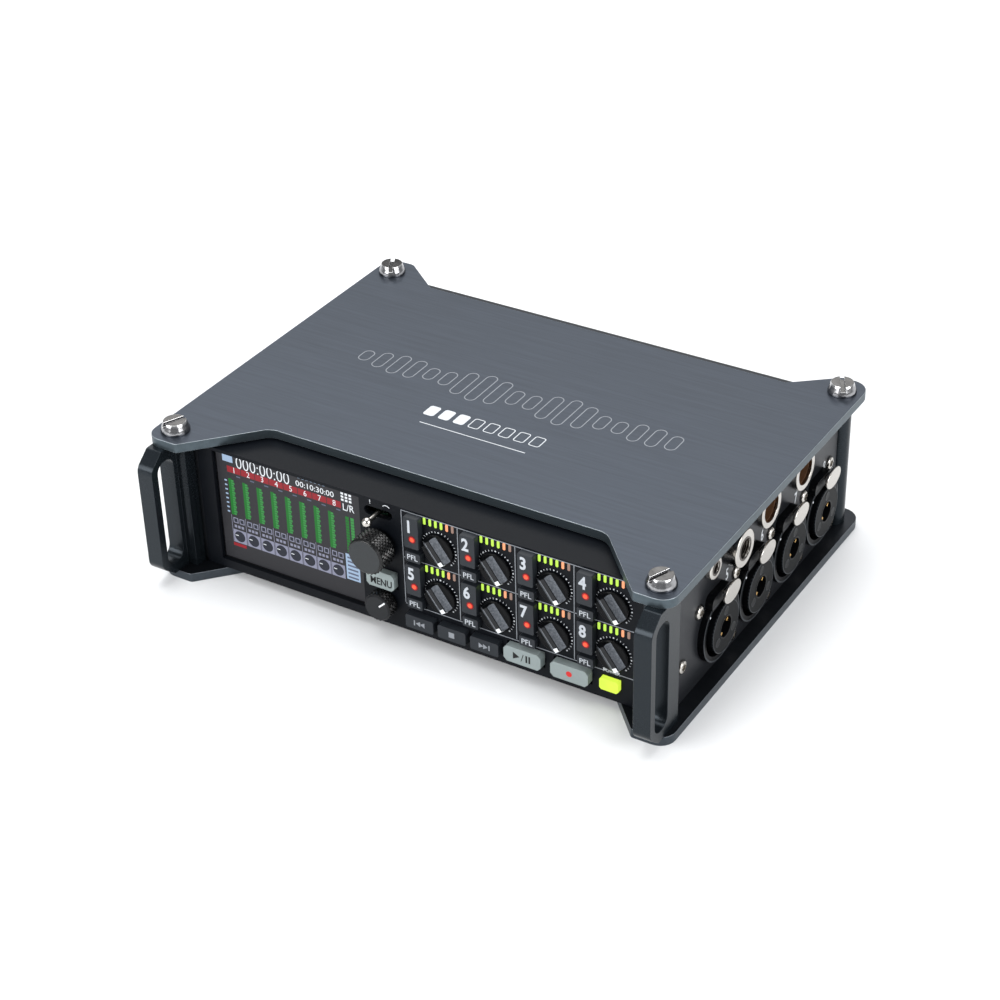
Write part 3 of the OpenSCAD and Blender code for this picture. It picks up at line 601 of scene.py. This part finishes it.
drawn.build("record_key_legend", "record_key", "key_light", [red_dot])
drawn, u, v = key_piece("menu_key")
drawn.word("MENU", u + 0.4, v - 0.6, 2.5, *INK, 0, 0.02, 0.82)
drawn.build("menu_key_legend", "menu_key", "key_light", [print_black])

lamps = Piece(face)
for key in keys:
    for k in range(LAMPS):
        u, v = key.x + LAMP_FROM_KEY[0] + LAMP_PITCH * k, key.z + LAMP_FROM_KEY[1]
        outline = box(u, v, *LENS, 0.38, 3)
        inner = box(u, v, LENS[0] - 0.34, LENS[1] - 0.35, 0.22, 3)
        rings = [[(a, b, -1.2) for a, b in outline], [(a, b, 0.02) for a, b in outline],
                 [(a, b, 0.12) for a, b in inner]]
        lamps.skin(rings, max(0, k - 3))
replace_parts(lamps.build("level_lamp_lenses", "case", "lamp_green",
                        [lamp_green, lamp_orange, lamp_dim]), "level_lamps")

RULE = 0.26             # width of the grid's lines
STRIP = (19.1, 16.55)   # width and height of one channel's square
TICKS = 25              # marks round a trim knob, every fourth one a dot
TICK_STEP = 11.25       # degrees between them
TICK_R = 5.75           # their distance from the knob's axis
TICK = 0.26             # half a mark's length, and a dot's radius
grid_x, grid_top = keys[0].x - 4.6, keys[0].z + 5.7
lines = Piece(face)
for row in range(3):
    v = grid_top - STRIP[1] * row - (0.35 if row == 0 else 0)
    lines.slab(box(grid_x + 2 * STRIP[0], v, 4 * STRIP[0], RULE), *INK)
for column in range(4):
    u = grid_x + STRIP[0] * column
    lines.slab(box(u, grid_top - STRIP[1], RULE, 2 * STRIP[1] - 0.7), *INK)
for key in keys:
    u, v = key.x + TRIM_FROM_KEY[0], key.z + TRIM_FROM_KEY[1]
    for i in range(TICKS):
        t = math.radians(TICK_STEP * i - 45)
        a, b = u + TICK_R * math.cos(t), v + TICK_R * math.sin(t)
        if i % 4 == 0:
            lines.slab(circle(a, b, TICK, 12), *INK, 1)
        else:
            c, s = TICK * math.cos(t), TICK * math.sin(t)
            lines.slab(bar((a - c, b - s), (a + c, b + s), 0.17), *INK, 1)
power = middle("power_key")
lines.word("POWER", power.x + 0.2, power.z + 4.1, 1.2, *INK, 1, 0.03)
slate = middle("slate_switch")
lines.word("!", slate.x - 2.7, slate.z + 3.1, 1.4, *INK, 1, 0.02)
lines.slab(arc(slate.x + 2.9, slate.z + 1.9, 1.6, 40, 140, 8)
           + arc(slate.x + 2.9, slate.z + 1.9, 1.35, 140, 40, 8), *INK, 1)
lines.build("panel_printing", "case", "frame_grey", [print_grey, print_white])


# ---------- the screen's picture ----------

picture = Piece(front(span("screen_window")[0].y))
SCREEN_COLOURS = {
    "white": (222, 227, 232), "red": (136, 18, 30), "green": (4, 102, 26),
    "mint": (46, 130, 60), "lilac": (128, 130, 150), "navy": (28, 32, 44),
    "blue": (148, 170, 196), "slate": (84, 92, 112), "dark": (35, 35, 39),
}
screen_inks = [light(f"screen_{name}", rgb(*c), 1.0) for name, c in SCREEN_COLOURS.items()]
WHITE, RED, GREEN, MINT, LILAC, NAVY, BLUE, SLATE, DARK = range(9)
GU, GV = -0.8, -1.0     # how far the whole picture is moved, across and up
SCREEN = (-69.6, 46.0, -17.6, 8.0)      # the lit area's left, top, right and bottom
COLUMN_LEFT = -65.9     # the first channel's column, and from one column to the next
COLUMN_PITCH = 5.24
TAB = (41.8, 39.6)      # top and bottom of what each column holds, from its numbered tab down
METER = (37.3, 24.3)
METER_STEPS = 15
METER_PITCH = 0.85
SWITCH = (23.3, 21.4)
DOTS = (20.6, 19.7)
KNOB_TILE = (18.9, 14.2)


def tile(u0, v0, u1, v1, ink, low=0.01, high=0.04):
    """A block of the picture between two corners."""
    u0, v0, u1, v1 = u0 + GU, v0 + GV, u1 + GU, v1 + GV
    picture.slab(box((u0 + u1) / 2, (v0 + v1) / 2, abs(u1 - u0), abs(v1 - v0)), low, high, ink)


def caption(text, u, v, height, ink, weight=0.0, stretch=1.0, low=0.04):
    picture.word(text, u + GU, v + GV, height, low, low + 0.03, ink, weight, stretch)


def channel_column(i):
    """A channel's tab, level meter, switches and small round dial."""
    u = COLUMN_LEFT + COLUMN_PITCH * i
    tile(u, TAB[0], u + COLUMN_PITCH - 0.25, TAB[1], RED)
    caption(str(i + 1), u + COLUMN_PITCH / 2, 40.7, 1.95, WHITE, -0.004, 0.9)
    tile(u + 0.1, METER[0] - 0.1 * (i % 3), u + 1.2, METER[1], GREEN)
    for j in range(METER_STEPS):
        v = 24.4 + METER_PITCH * j
        tile(u + 1.1, v, u + 2.0 + 0.3 * (j % 2), v + 0.68, MINT, 0.04, 0.05)
    tile(u + 3.2, 38.9, u + 4.7, 38.5, SLATE)
    for k in (0.5, 2.8):
        tile(u + k, SWITCH[0], u + k + 1.8, SWITCH[1], LILAC)
        tile(u + k + 0.3, SWITCH[0] - 0.3, u + k + 1.5, SWITCH[1] + 0.3, NAVY, 0.04, 0.06)
    for k in range(3):
        tile(u + 0.7 + 1.3 * k, DOTS[0], u + 1.6 + 1.3 * k, DOTS[1], LILAC)
    tile(u - 0.2, 24.0, u - 0.05, KNOB_TILE[1], LILAC)
    tile(u + 0.1, KNOB_TILE[0], u + COLUMN_PITCH - 0.4, KNOB_TILE[1], LILAC)
    picture.lathe(u + 2.4 + GU, 16.6 + GV, [(1.95, 0.03), (1.95, 0.07)], NAVY, 24)
    tile(u + 0.75, 17.0, u + 1.9, 16.75, WHITE, 0.06, 0.09)


# along the top
tile(*SCREEN, DARK, 0.0, 0.01)
tile(-67.3, 45.6, -63.5, 43.2, BLUE)
caption("000:00:00", -52.4, 43.95, 4.1, WHITE, -0.012, 0.84)
caption("00:10:30:00", -33.4, 43.5, 1.9, WHITE, 0.0, 1.1)
for i in range(7):
    tile(-39.5 + 1.5 * i, 45.9, -38.7 + 1.5 * i, 45.4, BLUE)

# the channels, with the meters' scale on their left
for i in range(CHANNELS):
    channel_column(i)
for j in range(8):
    v = 24.8 + 1.6 * j
    tile(-67.3, v, -66.4, v + 0.5, BLUE)
tile(-66.2, 13.9, -61.4, 12.8, RED)

# the stereo pair on the right
for k, u in enumerate((-22.9, -21.1)):
    tile(u, 37.2, u + 1.2, 24.5, (GREEN, MINT)[k])
    for j in range(12):
        tile(u - 0.1, 25 + j, u + 1.3, 25.12 + j, DARK, 0.04, 0.06)
caption("L/R", -21.5, 40.4, 2.4, WHITE, 0.0, 0.9)
tile(-23.8, 23.8, -18.9, 14.6, BLUE)
for j in range(6):
    tile(-23.2, 22.8 - 1.4 * j, -19.5, 22.2 - 1.4 * j, SLATE, 0.04, 0.06)
for j in range(3):
    for k in range(3):
        tile(-24.0 + 1.4 * k, 45.3 - 1.1 * j, -23.1 + 1.4 * k, 44.6 - 1.1 * j, WHITE)
picture.build("screen_picture", "case", "screen_glass", screen_inks)


# ---------- the top plate's engraving ----------

crown = Piece(top(span("top_plate")[1].z))
ENGRAVED = (-0.02, 0.03)    # back and front of the engraved lines, from the plate
BARS = 19
BAR_PITCH = 6.1
BAR_W = 4.0
BARS_MIDDLE = (-3, 10)
LINE = 0.32
BLOCKS = 8                  # rounded squares under the bars, the first of them solid
SOLID_BLOCKS = 3
BLOCK = (3.8, 5.5)
BLOCK_LINE = 0.3
for i in range(BARS):
    t = i - (BARS - 1) / 2
    tall = 5 + 12 * abs(math.sin(0.62 * i + 0.4)) * math.cos(math.pi * t / (BARS + 4))
    u, v = BAR_PITCH * t + BARS_MIDDLE[0], BARS_MIDDLE[1]
    outer = box(u, v, BAR_W, tall, BAR_W / 2, 6)
    inner = box(u, v, BAR_W - 2 * LINE, tall - 2 * LINE, BAR_W / 2 - LINE, 6)
    crown.frame(outer, inner, *ENGRAVED)
for i in range(BLOCKS):
    u = -21 + 5.3 * i
    outer = box(u, -9, *BLOCK, 0.9)
    if i < SOLID_BLOCKS:
        crown.slab(outer, *ENGRAVED, 1)
    else:
        inner = box(u, -9, BLOCK[0] - 2 * BLOCK_LINE, BLOCK[1] - 2 * BLOCK_LINE, 0.6)
        crown.frame(outer, inner, *ENGRAVED, 1)
crown.slab(box(-2.4, -16.2, 37, 0.3), *ENGRAVED, 1)
crown.build("plate_engraving", "case", "plate_blue", [print_grey, print_white])


# ---------- side sockets ----------

JACK_PITCH = 23
JACK_FIRST = -24.5
JACK_Z = 17.6
PINS = (90, 210, 330)
PIN_AT = 5.6            # from the jack's axis to the three contacts
PIN_R = 1.3
SPRINGS = ((1.9, 1.6), (-2.0, -2.0))
BORE_R = 3.3
INSERT_R = 8.2
INSERT_H = 3.3          # from the side panel to the insert's face
# inner and outer radius of the painted highlight ring on the flange's edge
FLANGE_HIGHLIGHT = (10.85, 11.3)
FLANGE_H = 1.9
HOOD_H = 2.4
NUMERAL_SHIFT = 6.5
LAST_NUMERAL_SHIFT = 3.9  # clear of the panel's rear screw


def jack_trim(place, name, numbers, way):
    """Rings, contacts and numerals of one side's four combination jacks; the grey rings and the grey
    bar are painted highlights on their edges.
    """
    trim = Piece(place)
    for i in range(4):
        u, v = way * (JACK_FIRST + JACK_PITCH * i), JACK_Z
        # grey rings on the flange's edge, the insert's rim and round the contacts are painted
        # highlights
        trim.ring(u, v, *FLANGE_HIGHLIGHT, FLANGE_H - 0.1, FLANGE_H + 0.1, 0)
        trim.lathe(u - 7.4 * way, v + 7, [(0.35, FLANGE_H - 0.05), (0.35, FLANGE_H + 0.06)], 1, 16)
        trim.ring(u, v, BORE_R, INSERT_R - 0.15, INSERT_H - 0.3, INSERT_H + 0.05, 2)
        trim.ring(u, v, INSERT_R - 0.22, INSERT_R, INSERT_H - 0.3, INSERT_H + 0.1, 0)
        trim.ring(u, v, BORE_R, BORE_R + 0.4, INSERT_H, INSERT_H + 0.12, 3)
        for angle in PINS:
            a = u + PIN_AT * math.cos(math.radians(angle))
            b = v + PIN_AT * math.sin(math.radians(angle))
            trim.lathe(a, b, [(PIN_R, INSERT_H - 0.5), (PIN_R, INSERT_H + 0.08)], 3, 20)
            trim.ring(a, b, PIN_R - 0.05, PIN_R + 0.1, INSERT_H - 0.1, INSERT_H + 0.12, 0, 20)
        for a, b in SPRINGS:
            spring = bar((u + way * a * 0.7, v + b * 0.7), (u + way * a * 1.12, v + b * 1.12), 0.8)
            trim.slab(spring, INSERT_H - 2.6, INSERT_H - 0.4, 4)
        # a grey bar on the hood's edge: a painted highlight
        trim.slab(box(u - 5.1 * way, v + 9.9, 3.6, 0.3), FLANGE_H, HOOD_H + 0.05, 0)
        beside = NUMERAL_SHIFT if i < 3 else LAST_NUMERAL_SHIFT
        trim.word(numbers[i], u + beside * way, v + 13.2, 3.9, *INK, 1, 0.015, 0.68)
    trim.build(name, "case", "jack_black", [highlight_grey, print_white, insert_grey, jack_black,
                                           gold])


SIDE_X = span("right_side_panel")[1].x
jack_trim(right(SIDE_X), "right_jack_trim", "5678", 1)
jack_trim(left(SIDE_X), "left_jack_trim", "1234", -1)

outs = Piece(right(SIDE_X))
OUT_Z = 39.8
OUT_U = (7, 30.3)       # the two main outputs
OUT_BORE = 4.5
OUT_DEPTH = -9
PHONES = ((-15.5, 39.5, 3.2, 4.3), (-29.2, 40.2, 1.8, 2))   # across, up, bore radius, reach
for u in OUT_U:
    outs.lathe(u, OUT_Z, [(OUT_BORE, OUT_DEPTH - 1.9), (OUT_BORE, OUT_DEPTH)], 0)
    outs.ring(u, OUT_Z, OUT_BORE - 0.05, OUT_BORE + 0.1, OUT_DEPTH, 0.6, 0)
    for angle in PINS:
        a = u + 1.9 * math.cos(math.radians(angle))
        b = OUT_Z + 1.9 * math.sin(math.radians(angle))
        outs.lathe(a, b, [(0.5, -9.5), (0.5, -5.2), (0.25, -4.8)], 1, 16)
for u, v, r, out in PHONES:
    outs.ring(u, v, r - 0.02, r + 0.5, out - 0.05, out + 0.08, 3)
    for k in range(6):
        outs.ring(u, v, r - 0.35, r - 0.02, out - 0.7 - 0.7 * k, out - 0.4 - 0.7 * k, 3)
    outs.lathe(u, v, [(r - 0.05, -8), (r - 0.05, -6)], 2)
outs.word("LINE OUT", -38.6, 43.6, 1.5, *INK, 4, 0.01)
outs.build("right_socket_contacts", "case", "nickel", [bronze, gold, jack_black, dark_nickel,
                                                       print_white])

# screws, with a six-lobed recess in each head
LOBES = 6
LOBE_R = 0.52           # the recess's middle radius, and how far its lobes move it
LOBE_WAVE = 0.07
screws = Piece(lambda x, y, z: (x, y, z))


def screw(place, u, v, r, tall):
    """A round-headed screw standing tall out of the surface at (u, v), with a black ring round it as
    a painted shadow of its countersink.
    """
    n = 36
    lobed = [(LOBE_R + LOBE_WAVE * math.cos(LOBES * t), t) for t in
             (2 * math.pi * i / n for i in range(n))]
    rings = [[(u + r * k * math.cos(t), v + r * k * math.sin(t), h)
              for t in (2 * math.pi * i / n for i in range(n))]
             for k, h in ((1, 0), (1, tall * 0.5), (0.93, tall * 0.8), (0.78, tall))]
    for h in (tall, tall * 0.25):
        rings.append([(u + r * q * math.cos(t), v + r * q * math.sin(t), h) for q, t in lobed])
    screws.place = place
    screws.skin(rings)
    # a black ring round the head: a painted shadow of the countersink
    screws.ring(u, v, r - 0.05, r + 0.4, -0.05, 0.04, 1, 36)


SCREW_R, SCREW_H = 2.1, 0.9
JACK_SCREW = (10.9, 10.6)       # from a jack's axis, across and up
PANEL_SCREWS = ((-45.6, 15.7), (52, 30.2))
FOOT_BOLT_R, FOOT_BOLT_H = 4.0, 1.4
FOOT_BOLT_SEAT = 1.6
for place, mirror_u in ((right(SIDE_X), 1), (left(SIDE_X), -1)):
    for i in range(4):
        for way in (-1, 1):
            u, v = JACK_FIRST + JACK_PITCH * i + way * JACK_SCREW[0], JACK_Z - way * JACK_SCREW[1]
            screw(place, mirror_u * u, v, SCREW_R, SCREW_H)
    for u, v in PANEL_SCREWS:
        screw(place, mirror_u * u, v, SCREW_R, SCREW_H)
rear_high = span("rear_panel")[1]
for u in (-74, -50, 50, 74):
    for v in (8, 42):
        screw(rear(rear_high.y if abs(u) < 65 else rear_high.y - 1.2), u, v, SCREW_R, SCREW_H)
for u in (-82.6, 82.6):
    for v in (-56.1, 62):
        screw(under(FOOT_BOLT_SEAT), u, -v, FOOT_BOLT_R, FOOT_BOLT_H)
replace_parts(screws.build("case_screw_heads", "case", "nickel", [nickel, jack_black]), "case_screws")


# ---------- rear ----------

back = Piece(rear(rear_high.y))
REAR_SOCKET_Z = 28
TIME_CODE_U = (40, 55.5)
POWER_U = -54
for u in TIME_CODE_U:
    back.ring(u, REAR_SOCKET_Z, 1.6, 3.55, -2.5, 6.5, 1)
    back.word("TC", u, 37.5, 1.6, *INK, 0, 0.01)
back.ring(POWER_U, REAR_SOCKET_Z, 5.2, 5.9, 4.3, 4.5, 1)
back.word("DC", POWER_U, 38, 1.6, *INK, 0, 0.01)
back.word("USB", -39, 33.4, 1.4, *INK, 0, 0.01)
back.build("rear_printing", "case", "frame_grey", [print_white, jack_black])


# ---------- floor, light and camera ----------

FLOOR = 6.0             # half the floor's width, in metres
floor_mesh = bpy.data.meshes.new("floor")
floor_mesh.from_pydata([(-FLOOR, -FLOOR, 0), (FLOOR, -FLOOR, 0), (FLOOR, FLOOR, 0),
                        (-FLOOR, FLOOR, 0)], [], [(0, 1, 2, 3)])
floor_mesh.materials.append(finish("floor_white", rgb(238, 239, 240), 0.6, 0, (300, 300, 300),
                                   0.01, 0.004, 0.02))
floor = bpy.data.objects.new("floor", floor_mesh)
bpy.context.scene.collection.objects.link(floor)

VIEW_AZIMUTH, VIEW_ELEVATION, VIEW_ROLL = 31.62, 33.82, -1.29
CAMERA_AT = Vector((312.35, -502.88, 401.36)) * MM
LENS_LENGTH = 81.69
SENSOR = 36
LENS_SHIFT = (-0.0171, 0.0388)
DAYLIGHT = (0.95, 0.97, 1.0, 1)
DAYLIGHT_STRENGTH = 0.36


def soft_box(name, azimuth, elevation, distance, width, height, power):
    """A rectangular lamp that faces the recorder. The azimuth counts from the front, and sizes
    are in metres."""
    lamp = bpy.data.lights.new(name, "AREA")
    lamp.shape = "RECTANGLE"
    lamp.size, lamp.size_y = width, height
    lamp.energy = power
    a, e = math.radians(azimuth), math.radians(elevation)
    out = Vector((math.sin(a) * math.cos(e), -math.cos(a) * math.cos(e), math.sin(e)))
    obj = bpy.data.objects.new(name, lamp)
    obj.location = out * distance
    obj.rotation_euler = (-out).to_track_quat("-Z", "Y").to_euler()
    bpy.context.scene.collection.objects.link(obj)


soft_box("right_softbox", VIEW_AZIMUTH + 50, 26, 1.5, 1.0, 0.8, 17)
soft_box("left_softbox", VIEW_AZIMUTH - 56, 26, 1.5, 1.0, 0.8, 17)
soft_box("overhead", VIEW_AZIMUTH + 200, 80, 1.6, 1.6, 1.4, 20)
soft_box("back_sheen", VIEW_AZIMUTH + 180, 40, 1.8, 1.6, 0.7, 8)

world = bpy.data.worlds.new("studio")
world.use_nodes = True
world.node_tree.nodes["Background"].inputs["Color"].default_value = DAYLIGHT
world.node_tree.nodes["Background"].inputs["Strength"].default_value = DAYLIGHT_STRENGTH
bpy.context.scene.world = world
bpy.context.scene.view_settings.view_transform = "Standard"

lens = bpy.data.cameras.new("camera")
lens.lens = LENS_LENGTH
lens.sensor_width = SENSOR
lens.shift_x, lens.shift_y = LENS_SHIFT
lens.clip_start, lens.clip_end = 0.01, 50
camera = bpy.data.objects.new("camera", lens)
turn = (Matrix.Rotation(math.radians(VIEW_AZIMUTH), 4, "Z")
        @ Matrix.Rotation(math.radians(90 - VIEW_ELEVATION), 4, "X")
        @ Matrix.Rotation(math.radians(VIEW_ROLL), 4, "Z"))
camera.matrix_world = Matrix.Translation(CAMERA_AT) @ turn
bpy.context.scene.collection.objects.link(camera)
bpy.context.scene.camera = camera
